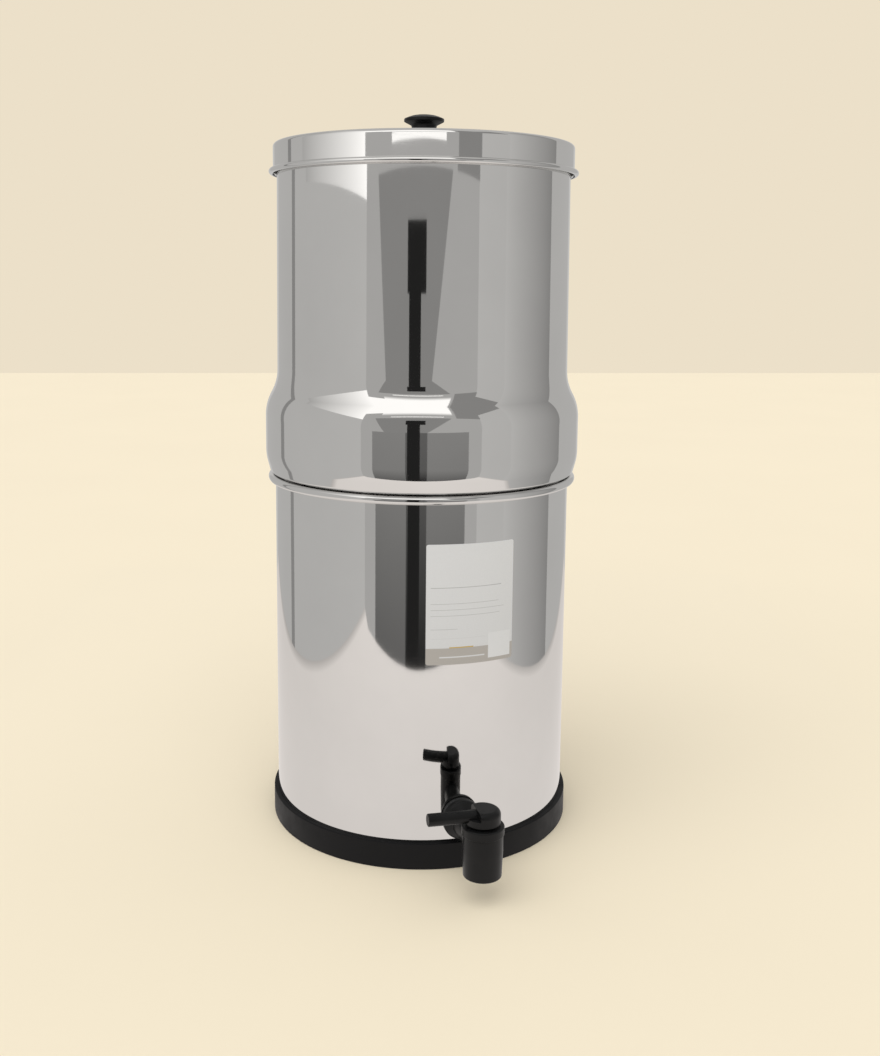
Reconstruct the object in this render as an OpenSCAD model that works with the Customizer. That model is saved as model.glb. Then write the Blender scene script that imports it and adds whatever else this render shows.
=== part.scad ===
// Two-chamber gravity water filter with a plug tap.
// Water poured into the upper chamber seeps through two ceramic candles into the lower
// chamber and is drawn off at the tap. The upper chamber stands loose in the lower one's
// rolled rim, and the lid stands loose on top.
// Origin: centre of the base, on the surface it stands on. +Z is up, the tap points to -Y.
// All lengths are in millimetres.

/* [Steel sheet] */
// Thickness of the stainless sheet
sheet_t = 0.8; // [0.6:0.1:1.2]

/* [Lower chamber] */
// Outer radius of the lower chamber's straight wall
vessel_r = 105; // [95:1:125]
// Height of the lower chamber, from its foot to the crest of its rolled rim
lower_h = 249.5; // [200:0.5:320]
// Outer radius of the roll along the rim
rim_roll_r = 2.8; // [2:0.1:3.5]
// Radius of the corner between wall and bottom
foot_corner_r = 5; // [3:0.5:8]
// Width of the flat ring that the chamber stands on
foot_w = 14; // [10:1:25]
// How far the middle of the bottom is pressed up
foot_rise = 3; // [1:0.5:6]

/* [Base ring] */
// Height of the base ring
ring_h = 18.3; // [12:0.1:25]
// Wall of the base ring
ring_wall = 3; // [2:0.25:5]
// Thickness of the lip under the chamber
ring_lip_t = 3; // [2:0.25:5]
// How far the lip reaches in under the chamber
ring_lip_w = 9; // [5:1:15]
// Radius of the ring's outer edges
ring_edge_r = 0.8; // [0.3:0.1:1.2]
// Gap between the ring and the chamber's wall
ring_fit = 0.1; // [0.05:0.05:0.3]

/* [Upper chamber] */
// Height of the upper chamber above its seat
upper_h = 227.2; // [180:0.1:290]
// How far the upper wall stands inside the line of the lower wall, at the shoulder
upper_inset = 1.8; // [1:0.1:4]
// How much narrower the wall is at the top than at the shoulder
upper_draft = 1; // [0:0.1:2]
// How far the shoulder stands out from the line of the lower wall
shoulder_out = 6.6; // [5:0.1:10]
// Height above the seat where the upper wall starts to run out to the shoulder
shoulder_top_h = 73; // [65:0.5:85]
// Height above the seat where the shoulder starts to turn in
shoulder_turn_h = 14.5; // [12:0.5:22]
// How far the lower edge of the shoulder stands out from the line of the lower wall
shoulder_edge_out = 3.4; // [2.8:0.1:4.5]
// Radius of the two bends between upper wall and shoulder, which meet halfway
shoulder_bend_r = 33.5; // [20:0.5:40]
// Radius of the turn at the shoulder's foot
shoulder_turn_r = 30; // [15:1:40]
// Radius of the edge that closes over the rim
seat_edge_r = 1.6; // [1.3:0.1:2]
// Depth of the spigot that drops into the lower chamber
spigot_h = 12.8; // [9:0.2:20]
// Gap between the spigot and the lower chamber's wall
spigot_gap = 0.6; // [0.4:0.1:1.2]
// Radius of the corner at the spigot's foot
spigot_corner_r = 4; // [2:0.5:6]
// Gap left where one loose vessel rests on another
rest_gap = 0.3; // [0.2:0.05:0.5]
// Height of the hem folded in along the mouth
mouth_hem_h = 6; // [4:0.5:10]

/* [Lid] */
// Gap between the mouth of the upper chamber and the lid's skirt
lid_gap = 1.9; // [0.8:0.1:2.5]
// Height of the lid, from its rolled edge's centre to its top
lid_h = 19.1; // [12:0.1:25]
// Outer radius of the roll along the lid's edge
lid_roll_r = 1.8; // [1.4:0.1:2.5]
// Radius of the lid's top corner
lid_corner_r = 2.6; // [1.5:0.1:5]

/* [Knob] */
// Radius of the knob's disc
knob_r = 14; // [11:0.2:18]
// Height of the knob above the lid
knob_h = 21.1; // [18:0.1:30]
// Radius of the knob's neck
knob_neck_r = 8.7; // [6.5:0.1:9.5]
// Radius of the knob's foot
knob_foot_r = 9.6; // [9:0.1:11]
// Height of the knob's foot
knob_foot_h = 3; // [2:0.5:5]
// Radius of the nearly flat middle of the knob's crown
knob_crown_r = 7.5; // [4:0.5:9]
// Radius of the bend from the crown's middle to its slope
knob_crown_bend_r = 18; // [10:1:30]
// Drop of the crown towards the disc's edge
knob_crown_h = 2.6; // [1.8:0.1:3.4]
// Height of the disc's edge
knob_edge_h = 1.9; // [1.6:0.1:3]
// Height of the slope under the disc, down to the neck
knob_under_h = 2.7; // [2:0.1:4]
// Radius of the bends at the neck's ends
knob_neck_bend_r = 2; // [1:0.25:2.5]
// Radius of the knob's small edges
knob_edge_r = 0.7; // [0.3:0.1:0.8]
// Radius of the screw that holds the knob
knob_screw_r = 2.4; // [2:0.1:3]
// Length of the screw's shank
knob_screw_l = 14; // [10:0.5:16]
// Radius of the screw's head
knob_screw_head_r = 4.5; // [4:0.1:6]
// Height of the screw's head
knob_screw_head_h = 3; // [2:0.2:4]
// Radius of the sealing washer under the lid
knob_washer_r = 8; // [6.5:0.5:11]
// Thickness of the sealing washer under the lid
knob_washer_t = 1.2; // [0.8:0.1:2]
// Width of the slot in the screw's head
knob_slot_w = 1.2; // [0.8:0.1:1.6]

/* [Label] */
// Width of the label along the wall
label_w = 61.4; // [40:0.2:80]
// Height of the label
label_h = 80.3; // [50:0.1:100]
// Height of the label's lower edge above the lower chamber's foot
label_z = 137.2; // [95:0.1:145]
// Turn of the label's middle from the tap, seen from above
label_turn = 3.25; // [-20:0.25:20]
// Thickness of the label
label_t = 0.15; // [0.1:0.05:0.3]
// Thickness of the glue under the label
label_glue_t = 0.05; // [0.03:0.01:0.1]
// Radius of the label's corners
label_corner_r = 1.5; // [0.5:0.5:4]

/* [Candles] */
// Distance of each candle and plug from the chamber's axis
candle_pitch = 50; // [42:1:58]
// Outer radius of the ceramic shell
candle_r = 25; // [20:0.5:27]
// Wall of the ceramic shell
candle_wall = 8; // [5:0.5:10]
// Height of the ceramic shell
candle_h = 158; // [120:1:165]
// Radius of the shell's domed top
candle_dome_r = 19; // [12:1:20]
// Gap between the ceramic shell and its carbon filling
core_gap = 0.2; // [0.1:0.05:0.5]
// Wall of the cup that holds the ceramic shell
cup_wall = 1.5; // [1:0.25:3]
// Height of the cup
cup_h = 16; // [12:0.5:22]
// Depth of the shell's seat in the cup
cup_depth = 10; // [6:0.5:12]
// Gap between the ceramic shell and the cup's wall
cup_fit = 0.1; // [0.05:0.05:0.3]
// Radius of the threaded stem
stem_r = 6; // [5:0.25:7]
// Length of the stem below the chamber's floor
stem_l = 30; // [20:1:36]
// Radius of the water way through the stem
stem_bore_r = 3; // [2:0.25:4]
// Gap between a stem and its hole in the floor
stem_gap = 0.5; // [0.3:0.1:1]
// Gap between a stem and what is threaded on it
stem_thread_gap = 0.05; // [0.02:0.01:0.1]
// Radius of the candle's sealing washer
candle_washer_r = 15; // [12:0.5:18]
// Thickness of the candle's sealing washer
candle_washer_t = 3; // [2:0.25:4]

/* [Wing nuts and hole plugs] */
// Radius of the wing nut's hub
wing_hub_r = 9.5; // [8.5:0.25:11]
// Height of the wing nut's hub
wing_hub_h = 9; // [7:0.5:12]
// Span of the wing nut over both wings
wing_span = 42; // [38:1:46]
// Height of the wings
wing_h = 15; // [13:0.5:18]
// Width of each wing at its tip
wing_tip_w = 8; // [7:0.5:9]
// How far each wing leans out from its foot to its tip
wing_lean = 5; // [3:0.5:6]
// Height of the web between hub and wing
wing_web_h = 6; // [5:0.5:7]
// Radius of the corners of the wings
wing_corner_r = 3; // [2:0.5:3.25]
// Thickness of the wings
wing_t = 3; // [2:0.25:4]
// Radius of the hole plug's head
plug_head_r = 13; // [11:0.5:16]
// Height of the hole plug's head
plug_head_h = 5; // [4:0.5:8]
// Radius of the edge of the hole plug's head
plug_head_edge_r = 1.5; // [0.5:0.25:2]
// Length of the hole plug's stem below the floor
plug_stem_l = 14; // [11:0.5:20]
// Thickness of the hole plug's washer
plug_washer_t = 2; // [1.5:0.25:3]
// Size of the hole plug's nut across its flats
plug_nut_af = 20; // [18:0.5:24]
// Height of the hole plug's nut
plug_nut_h = 7; // [5:0.5:9]

/* [Tap] */
// Gap between the top of the base ring and the tap's flange
tap_ring_gap = 2.9; // [2:0.1:20]
// Distance from the chamber's wall to the spout's axis
tap_reach = 46.7; // [40:0.1:60]
// Radius of the flange
tap_flange_r = 13.4; // [13:0.1:16]
// Thickness of the flange's straight edge
tap_flange_t = 4; // [2:0.2:5]
// Height of the flange's domed face
tap_dome_h = 4.5; // [4:0.5:7]
// Radius of the flange's front edge
tap_flange_edge_r = 3.5; // [0.5:0.25:3.5]
// Radius of the fillet between the flange and the neck
tap_fillet_r = 2; // [1:0.5:3]
// Radius of the neck between flange and barrel
tap_neck_r = 8.4; // [7:0.1:9]
// Radius of the threaded shank
shank_r = 8; // [7:0.25:9]
// Length of the shank past the lock nut
shank_end_l = 3; // [1:0.5:5]
// Gap between the shank and its hole in the wall
shank_gap = 0.25; // [0.15:0.05:0.5]
// Radius of the water way through the shank
tap_way_r = 4.5; // [3.5:0.25:5]
// Gap between the shank and the nut and washers on it
shank_thread_gap = 0.05; // [0.02:0.01:0.1]
// Thickness of the tap's rubber washers
tap_washer_t = 2; // [1.5:0.25:3]
// Radius of the washer outside the wall
tap_washer_r = 12.6; // [11.5:0.1:13]
// Radius of the washer inside the wall
tap_inner_washer_r = 13; // [12:0.5:16]
// Size of the lock nut across its flats
tap_nut_af = 25; // [23:0.5:28]
// Height of the lock nut
tap_nut_h = 8; // [6:0.5:10]
// Radius of the barrel
barrel_r = 12.9; // [12:0.1:14]
// Height from the shank's axis up to the barrel's shoulder
barrel_up = 10.7; // [9:0.1:14]
// Depth from the shank's axis down to the spout's mouth
spout_drop = 17; // [15:0.1:30]
// How much narrower the spout is at its mouth
spout_taper = 0.6; // [0:0.1:1.5]
// Radius of the bend between the spout's taper and the barrel
spout_bend_r = 10; // [5:1:20]
// Radius of the edge round the spout's mouth
spout_edge_r = 0.7; // [0.3:0.1:0.9]
// Radius of the bore at the spout's mouth
mouth_r = 7.2; // [6:0.1:7.5]
// Depth of the bore at the spout's mouth, up to the ledge below the plug
mouth_depth = 5; // [3:0.25:6]
// Radius of the threaded end that carries the collar
barrel_thread_r = 11.2; // [10.9:0.1:11.5]
// Height of the threaded end
barrel_thread_h = 3; // [2.5:0.1:4]
// Outer radius of the collar
collar_r = 13.6; // [12.9:0.1:15]
// Height of the collar
collar_h = 5.7; // [5.2:0.1:7.5]
// Radius of the collar's upper edge
collar_edge_r = 1; // [0.5:0.1:1.4]

/* [Tap plug and handle] */
// Radius of the bore that the plug turns in
plug_bore_r = 8.6; // [8.2:0.1:8.8]
// Running gap between the plug and its bore
plug_gap = 0.08; // [0.04:0.01:0.1]
// Radius of the hollow inside the plug
plug_way_r = 4.8; // [4.5:0.1:5.2]
// Radius of the port in the plug's side
plug_port_r = 4; // [3:0.25:4.4]
// Radius of the shoulder that the collar holds down
plug_shoulder_r = 10.2; // [9.6:0.1:10.6]
// Thickness of the shoulder
plug_shoulder_t = 1.2; // [1:0.1:1.5]
// Width of the stop that ends the plug's turn
stop_w = 4; // [3:0.25:5]
// Gap between the stop and the plug's notch at either end of the turn
stop_gap = 0.3; // [0.2:0.05:0.6]
// Radius of the plug's stem through the collar
plug_stem_r = 7.4; // [6.5:0.1:8]
// Play of the plug along its axis
plug_play = 0.1; // [0.05:0.05:0.2]
// Width of the square that drives the plug
drive_w = 8; // [7:0.25:8.75]
// Height of the square that drives the plug
drive_h = 5; // [4:0.25:6]
// Gap between the square and its socket
drive_fit = 0.05; // [0.02:0.01:0.1]
// Section radius of the O-rings
o_ring_r = 0.8; // [0.6:0.1:0.9]
// Gap between the O-rings and the plug's bore
o_ring_gap = 0.03; // [0.01:0.01:0.05]
// Distance of each O-ring from the port's centre
o_ring_offset = 6.6; // [5.8:0.1:7.2]
// Radius of the handle's hub
hub_r = 11.2; // [9.5:0.1:12]
// Height of the handle's hub
hub_h = 9.2; // [8:0.1:12]
// Radius of the hub's upper edge
hub_edge_r = 3.6; // [2:0.1:4]
// Gap between the collar and the hub
hub_gap = 1.5; // [0.2:0.1:2]
// Distance from the plug's axis to the flat face of the hub that the bar springs from
hub_flat = 4.6; // [4.5:0.1:6]
// Reach of the handle's bar from the plug's axis
bar_reach = 36.2; // [28:0.1:45]
// Radius of the handle's bar
bar_r = 4; // [3.2:0.1:4.2]
// Height of the bar's root above the foot of the hub
bar_h = 4.4; // [4.2:0.1:5]
// Slope of the bar, rising to its end, in degrees
bar_rise = 1.6; // [0:0.1:5]
// Radius of the edge at the bar's end
bar_edge_r = 0.7; // [0.3:0.1:1.5]

/* [Hidden] */
$fn = 96;
arc_step = 9;       // degrees of turn per facet of a bend
fine_fn = 720;      // facets of the wide cylinders that shape the thin washers
cut = 1;            // how far a cutting tool runs past a face
roll_step = 0.2;    // how far a rolled edge's inside stands out from its wall's inner face
mould_r = 0.4;      // radius of the small edges of moulded pieces
nut_chamfer_angle = 30; // slope of a nut's chamfer, in degrees

steel = [0.76, 0.76, 0.75];
black = [0.10, 0.10, 0.11];
rubber_grey = [0.20, 0.20, 0.21];
ceramic = [0.93, 0.91, 0.86];
paper = [0.95, 0.95, 0.94];

// Heights of the stack
foot_z = ring_lip_t;
rim_z = foot_z + lower_h;
seat_z = rim_z + rest_gap;
floor_z = seat_z - spigot_h;
floor_top_z = floor_z + sheet_t;
mouth_z = seat_z + upper_h;
lid_z = mouth_z + rest_gap + sheet_t;
lid_roll_z = lid_z - lid_h;

// Radii of the stack
rim_roll_centre_r = vessel_r - sheet_t + roll_step + rim_roll_r;
spigot_r = vessel_r - sheet_t - spigot_gap;
upper_r = vessel_r - upper_inset;
upper_top_r = upper_r - upper_draft;
shoulder_angle = acos(1 - (upper_inset + shoulder_out) / 2 / shoulder_bend_r);
shoulder_tangent = shoulder_bend_r * tan(shoulder_angle / 2);
lid_r = upper_top_r + lid_gap + sheet_t;
lid_roll_centre_r = lid_r - sheet_t + roll_step + lid_roll_r;
ring_r = vessel_r + ring_fit + ring_wall;

// Candle heights, upwards from the chamber's floor
cup_z = floor_top_z + candle_washer_t;
shell_z = cup_z + cup_h - cup_depth;
cup_r = candle_r + cup_fit + cup_wall;
candle_places = [[-candle_pitch, 0], [candle_pitch, 0]];
plug_places = [[0, -candle_pitch], [0, candle_pitch]];
floor_hole_r = stem_r + stem_gap;

// Tap places
tap_z = ring_h + tap_ring_gap + tap_flange_r;
tap_r = vessel_r + tap_reach;
flange_back = vessel_r + tap_washer_t;
inner_face_r = vessel_r - sheet_t;
nut_face_r = inner_face_r - tap_washer_t;
shank_tip_r = nut_face_r - tap_nut_h - shank_end_l;
mouth_bottom_z = tap_z - spout_drop;
ledge_z = mouth_bottom_z + mouth_depth;
barrel_z = tap_z + barrel_up;
thread_z = barrel_z + barrel_thread_h;
collar_z = barrel_z + plug_play;
collar_top_z = collar_z + collar_h;
shoulder_z = thread_z + plug_play;
collar_lip_z = shoulder_z + plug_shoulder_t + plug_play;
plug_r = plug_bore_r - plug_gap;
hub_z = collar_top_z + hub_gap;
hub_top_z = hub_z + hub_h;
bar_z = hub_z + bar_h;
groove_r = plug_bore_r - o_ring_gap - 2 * o_ring_r;

// ---- Rounded paths -------------------------------------------------------------------

function unit(v) = v / norm(v);
function left_of(d) = [-d[1], d[0]];
function turned(v, a) = [v[0] * cos(a) - v[1] * sin(a), v[0] * sin(a) + v[1] * cos(a)];

// Points and left-hand normals along the bend of radius r at corner b, from a towards c.
// Radius 0 leaves the corner sharp.
function bend(a, b, c, r) = r > 0 ? arc_bend(unit(b - a), b, unit(c - b), r)
    : [[b, unit(left_of(unit(b - a)) + left_of(unit(c - b)))]];

function arc_bend(d1, b, d2, r) =
    let (angle = acos(max(-1, min(1, d1 * d2))))
    let (side = sign(d1[0] * d2[1] - d1[1] * d2[0]))
    let (start = b - d1 * r * tan(angle / 2), n = left_of(d1))
    let (centre = start + side * r * n, steps = ceil(angle / arc_step))
    [for (k = [0:steps])
        let (m = turned(n, side * angle * k / steps))
        [centre - side * r * m, m]];

// A path through corners [r, z, bend radius], as [point, left-hand normal] pairs
function bent_path(corners) =
    let (p = [for (q = corners) [q[0], q[1]]], last = len(corners) - 1)
    concat([[p[0], left_of(unit(p[1] - p[0]))]],
           [for (i = [1:last - 1]) each bend(p[i - 1], p[i], p[i + 1], corners[i][2])],
           [[p[last], left_of(unit(p[last] - p[last - 1]))]]);

// The sheet's section between a path and the same path one thickness to its right
module sheet_section(path, t) {
    outside = [for (q = path) q[0]];
    inside = [for (i = [len(path) - 1:-1:0]) path[i][0] - t * path[i][1]];
    polygon(concat(outside, inside));
}

// A solid of revolution below or inside a path that starts or ends on the axis
module solid_section(path, closing) {
    polygon(concat([for (q = path) q[0]], closing));
}

module roll(centre_r, z, r) {
    rotate_extrude() translate([centre_r, z]) circle(r = r);
}

module washer(r, hole_r, t) {
    difference() {
        cylinder(r = r, h = t);
        translate([0, 0, -cut]) cylinder(r = hole_r, h = t + 2 * cut);
    }
}

// A nut with chamfered corners. af is its size across the flats.
module hex_nut(af, hole_r, h) {
    corner_r = af / 2 / cos(30);
    chamfer = (corner_r - af / 2) * tan(nut_chamfer_angle);
    difference() {
        cylinder(r = corner_r, h = h, $fn = 6);
        translate([0, 0, -cut]) cylinder(r = hole_r, h = h + 2 * cut);
        rotate_extrude() polygon([[af / 2, -cut], [corner_r + cut, -cut],
                                  [corner_r + cut, chamfer], [corner_r, chamfer], [af / 2, 0]]);
        rotate_extrude() polygon([[af / 2, h + cut], [af / 2, h], [corner_r, h - chamfer],
                                  [corner_r + cut, h - chamfer], [corner_r + cut, h + cut]]);
    }
}

// ---- Vessels -------------------------------------------------------------------------

// Puts a shape that is modelled along +Z on the tap's axis, pointing out of the wall
module on_tap_axis() {
    translate([0, 0, tap_z]) rotate([90, 0, 0]) children();
}

module lower_chamber() {
    rise_r = vessel_r - foot_w;
    path = bent_path([[vessel_r, rim_z - rim_roll_r, 0],
                      [vessel_r, foot_z, foot_corner_r],
                      [rise_r, foot_z, foot_rise],
                      [rise_r - foot_rise, foot_z + foot_rise, foot_rise],
                      [0, foot_z + foot_rise, 0]]);
    color(steel) difference() {
        union() {
            rotate_extrude() sheet_section(path, sheet_t);
            roll(rim_roll_centre_r, rim_z - rim_roll_r, rim_roll_r);
        }
        on_tap_axis() cylinder(r = shank_r + shank_gap, h = vessel_r + cut);
    }
}

module base_ring() {
    e = ring_edge_r;
    inner_r = vessel_r + ring_fit;
    lip_r = vessel_r - ring_lip_w;
    outline = bent_path([[inner_r, ring_h, 0],
                         [ring_r, ring_h, e],
                         [ring_r, 0, e],
                         [lip_r, 0, 0]]);
    seat = bent_path([[lip_r, ring_lip_t, 0],
                      [inner_r, ring_lip_t, foot_corner_r],
                      [inner_r, ring_h, 0]]);
    color(black) rotate_extrude() polygon([for (q = concat(outline, seat)) q[0]]);
}

module label_sticker() {
    back_r = vessel_r + label_glue_t;
    chord = 2 * back_r * sin(label_w / back_r * 90 / PI);
    c = label_corner_r;
    bottom_z = foot_z + label_z;
    color(paper) rotate([0, 0, label_turn]) intersection() {
        difference() {
            cylinder(r = back_r + label_t, h = rim_z);
            translate([0, 0, -cut]) cylinder(r = back_r, h = rim_z + 2 * cut);
        }
        translate([0, 0, bottom_z]) rotate([90, 0, 0]) linear_extrude(vessel_r + 2 * cut) {
            translate([-chord / 2 + c, 0]) square([chord - 2 * c, label_h]);
            translate([-chord / 2, c]) square([chord, label_h - 2 * c]);
            for (x = [-chord / 2 + c, chord / 2 - c], y = [c, label_h - c])
                translate([x, y]) circle(r = c);
        }
    }
}

module upper_chamber() {
    hem_r = upper_top_r - sheet_t;
    upper_bend_z = seat_z + shoulder_top_h - shoulder_tangent;
    lower_bend_z = upper_bend_z - 2 * shoulder_tangent * cos(shoulder_angle);
    path = bent_path([[upper_top_r, mouth_z, 0],
                      [upper_r, upper_bend_z, shoulder_bend_r],
                      [vessel_r + shoulder_out, lower_bend_z, shoulder_bend_r],
                      [vessel_r + shoulder_out, seat_z + shoulder_turn_h, shoulder_turn_r],
                      [vessel_r + shoulder_edge_out, seat_z, seat_edge_r],
                      [spigot_r, seat_z, sheet_t],
                      [spigot_r, floor_z, spigot_corner_r],
                      [0, floor_z, 0]]);
    color(steel) difference() {
        union() {
            rotate_extrude() sheet_section(path, sheet_t);
            translate([0, 0, mouth_z - mouth_hem_h])
                washer(hem_r + sheet_t / 2, hem_r - sheet_t, mouth_hem_h);
        }
        for (p = concat(candle_places, plug_places))
            at_place(p, floor_z - cut) cylinder(r = floor_hole_r, h = sheet_t + 2 * cut);
    }
}

// ---- Lid and knob --------------------------------------------------------------------

module lid() {
    path = bent_path([[0, lid_z, 0],
                      [lid_r, lid_z, lid_corner_r],
                      [lid_r, lid_roll_z, 0]]);
    color(steel) difference() {
        union() {
            rotate_extrude() sheet_section(path, sheet_t);
            roll(lid_roll_centre_r, lid_roll_z, lid_roll_r);
        }
        translate([0, 0, lid_z - sheet_t - cut])
            cylinder(r = knob_screw_r + stem_thread_gap, h = sheet_t + 2 * cut);
    }
}

module lid_knob() {
    top_z = lid_z + knob_h;
    edge_z = top_z - knob_crown_h;
    under_z = edge_z - knob_edge_h;
    path = bent_path([[0, top_z, 0],
                      [knob_crown_r, top_z, knob_crown_bend_r],
                      [knob_r, edge_z, knob_edge_r],
                      [knob_r, under_z, knob_edge_r],
                      [knob_neck_r, under_z - knob_under_h, knob_neck_bend_r],
                      [knob_neck_r, lid_z + knob_foot_h + knob_neck_bend_r, knob_neck_bend_r],
                      [knob_foot_r, lid_z + knob_foot_h, knob_edge_r],
                      [knob_foot_r, lid_z, 0]]);
    color(black) difference() {
        rotate_extrude() solid_section(path, [[0, lid_z]]);
        translate([0, 0, lid_z - cut])
            cylinder(r = knob_screw_r + stem_thread_gap, h = knob_screw_l + cut);
    }
}

module knob_washer() {
    color(rubber_grey) translate([0, 0, lid_z - sheet_t - knob_washer_t])
        washer(knob_washer_r, knob_screw_r + stem_thread_gap, knob_washer_t);
}

module knob_screw() {
    head_z = lid_z - sheet_t - knob_washer_t;
    path = bent_path([[0, head_z - knob_screw_head_h, 0],
                      [knob_screw_head_r, head_z - knob_screw_head_h, knob_screw_head_h / 2],
                      [knob_screw_head_r, head_z, 0]]);
    color(steel) difference() {
        union() {
            rotate_extrude() solid_section(path, [[0, head_z]]);
            translate([0, 0, head_z]) cylinder(r = knob_screw_r, h = knob_screw_l);
        }
        translate([-knob_screw_head_r - cut, -knob_slot_w / 2, head_z - knob_screw_head_h - cut])
            cube([2 * (knob_screw_head_r + cut), knob_slot_w, cut + knob_screw_head_h / 2]);
    }
}

// ---- Candles -------------------------------------------------------------------------

module at_place(p, z) {
    translate([p[0], p[1], z]) children();
}

module ceramic_shell(p) {
    path = bent_path([[0, candle_h, 0],
                      [candle_r, candle_h, candle_dome_r],
                      [candle_r, 0, 0]]);
    color(ceramic) at_place(p, shell_z) rotate_extrude() sheet_section(path, candle_wall);
}

module carbon_core(p) {
    core_r = candle_r - candle_wall - core_gap;
    top_z = candle_h - candle_wall - core_gap;
    path = bent_path([[0, top_z, 0],
                      [core_r, top_z, candle_dome_r - candle_wall],
                      [core_r, 0, 0]]);
    color(black) at_place(p, shell_z) rotate_extrude() solid_section(path, [[0, 0]]);
}

module candle_base(p) {
    stem_z = floor_z - stem_l;
    color(paper) difference() {
        union() {
            at_place(p, cup_z) cylinder(r = cup_r, h = cup_h);
            at_place(p, stem_z) cylinder(r = stem_r, h = cup_z - stem_z + cut);
        }
        at_place(p, shell_z) cylinder(r = candle_r + cup_fit, h = cup_depth + cut);
        at_place(p, stem_z - cut) cylinder(r = stem_bore_r, h = shell_z - stem_z + 2 * cut);
    }
}

module candle_sealing_washers() {
    color(rubber_grey) for (p = candle_places)
        at_place(p, floor_top_z) washer(candle_washer_r, stem_r + stem_thread_gap, candle_washer_t);
}

module wing_nut() {
    tip_x = wing_span / 2;
    ear_x = tip_x - wing_tip_w;
    wing = bent_path([[0, 0, 0],
                      [tip_x - wing_lean, 0, wing_corner_r],
                      [tip_x, wing_h, wing_corner_r],
                      [ear_x, wing_h, wing_corner_r],
                      [ear_x - wing_lean / 2, wing_web_h, wing_corner_r / 2],
                      [0, wing_web_h, 0]]);
    difference() {
        union() {
            cylinder(r = wing_hub_r, h = wing_hub_h);
            for (turn = [0, 180])
                rotate([90, 0, turn]) translate([0, 0, -wing_t / 2])
                    linear_extrude(wing_t) polygon([for (q = wing) q[0]]);
        }
        translate([0, 0, -cut]) cylinder(r = stem_r + stem_thread_gap, h = wing_h + 2 * cut);
    }
}

module candle_wing_nuts() {
    color(paper) for (p = candle_places) at_place(p, floor_z) mirror([0, 0, 1]) wing_nut();
}

module hole_plugs() {
    head_z = floor_top_z + plug_washer_t;
    path = bent_path([[0, plug_head_h, 0],
                      [plug_head_r, plug_head_h, plug_head_edge_r],
                      [plug_head_r, 0, 0]]);
    color(black) for (p = plug_places) {
        at_place(p, head_z) rotate_extrude() solid_section(path, [[0, 0]]);
        at_place(p, floor_z - plug_stem_l) cylinder(r = stem_r, h = head_z - floor_z + plug_stem_l);
    }
}

module hole_plug_washers() {
    color(rubber_grey) for (p = plug_places)
        at_place(p, floor_top_z) washer(plug_head_r, stem_r + stem_thread_gap, plug_washer_t);
}

module hole_plug_nuts() {
    color(black) for (p = plug_places)
        at_place(p, floor_z - plug_nut_h) hex_nut(plug_nut_af, stem_r + stem_thread_gap, plug_nut_h);
}

// ---- Tap -----------------------------------------------------------------------------

// The tap's vertical axis, through the spout, the plug and the handle's hub
module on_spout_axis(z) {
    translate([0, -tap_r, z]) children();
}

module tap_body() {
    flange_front = flange_back + tap_flange_t;
    stem_path = bent_path([[0, shank_tip_r, 0],
                           [shank_r, shank_tip_r, mould_r],
                           [shank_r, flange_back, 0],
                           [tap_flange_r, flange_back, mould_r],
                           [tap_flange_r, flange_front, tap_flange_edge_r],
                           [tap_neck_r, flange_front + tap_dome_h, tap_fillet_r],
                           [tap_neck_r, tap_r, 0]]);
    barrel_path = bent_path([[0, mouth_bottom_z, 0],
                             [barrel_r - spout_taper, mouth_bottom_z, spout_edge_r],
                             [barrel_r, tap_z, spout_bend_r],
                             [barrel_r, barrel_z, mould_r],
                             [barrel_thread_r, barrel_z, 0],
                             [barrel_thread_r, thread_z, 0]]);
    color(black) difference() {
        union() {
            on_tap_axis() rotate_extrude() solid_section(stem_path, [[0, tap_r]]);
            on_spout_axis(0) rotate_extrude() solid_section(barrel_path, [[0, thread_z]]);
            on_spout_axis(thread_z) plug_stop();
        }
        on_spout_axis(mouth_bottom_z - cut) cylinder(r = mouth_r, h = mouth_depth + 2 * cut);
        on_spout_axis(ledge_z) cylinder(r = plug_bore_r, h = thread_z + plug_shoulder_t - ledge_z + cut);
        on_tap_axis() translate([0, 0, shank_tip_r - cut])
            cylinder(r = tap_way_r, h = tap_r - shank_tip_r + cut);
    }
}

// The lug on the barrel's top, towards the chamber, that ends the plug's turn
module plug_stop() {
    intersection() {
        translate([0, 0, -cut]) cylinder(r = barrel_thread_r, h = plug_shoulder_t + cut);
        translate([-stop_w / 2, 0, -cut]) cube([stop_w, barrel_thread_r, plug_shoulder_t + cut]);
    }
}

// The shoulder under the collar. Its notch lets the stop pass through a quarter turn.
module plug_shoulder() {
    notch = stop_w / 2 + stop_gap;
    cylinder(r = plug_r, h = plug_shoulder_t);
    difference() {
        cylinder(r = plug_shoulder_r, h = plug_shoulder_t);
        translate([-notch, -notch, -cut])
            cube([plug_shoulder_r + notch, plug_shoulder_r + notch, plug_shoulder_t + 2 * cut]);
    }
}

// A rubber ring round the shank: one face takes the curve of the chamber's wall
module tap_outer_washer() {
    color(rubber_grey) difference() {
        on_tap_axis() translate([0, 0, vessel_r - 2 * tap_washer_t])
            washer(tap_washer_r, shank_r + shank_thread_gap, 3 * tap_washer_t);
        cylinder(r = vessel_r, h = rim_z, $fn = fine_fn);
    }
}

module tap_inner_washer() {
    color(rubber_grey) intersection() {
        on_tap_axis() translate([0, 0, nut_face_r])
            washer(tap_inner_washer_r, shank_r + shank_thread_gap, tap_washer_t);
        cylinder(r = inner_face_r, h = rim_z, $fn = fine_fn);
    }
}

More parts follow.
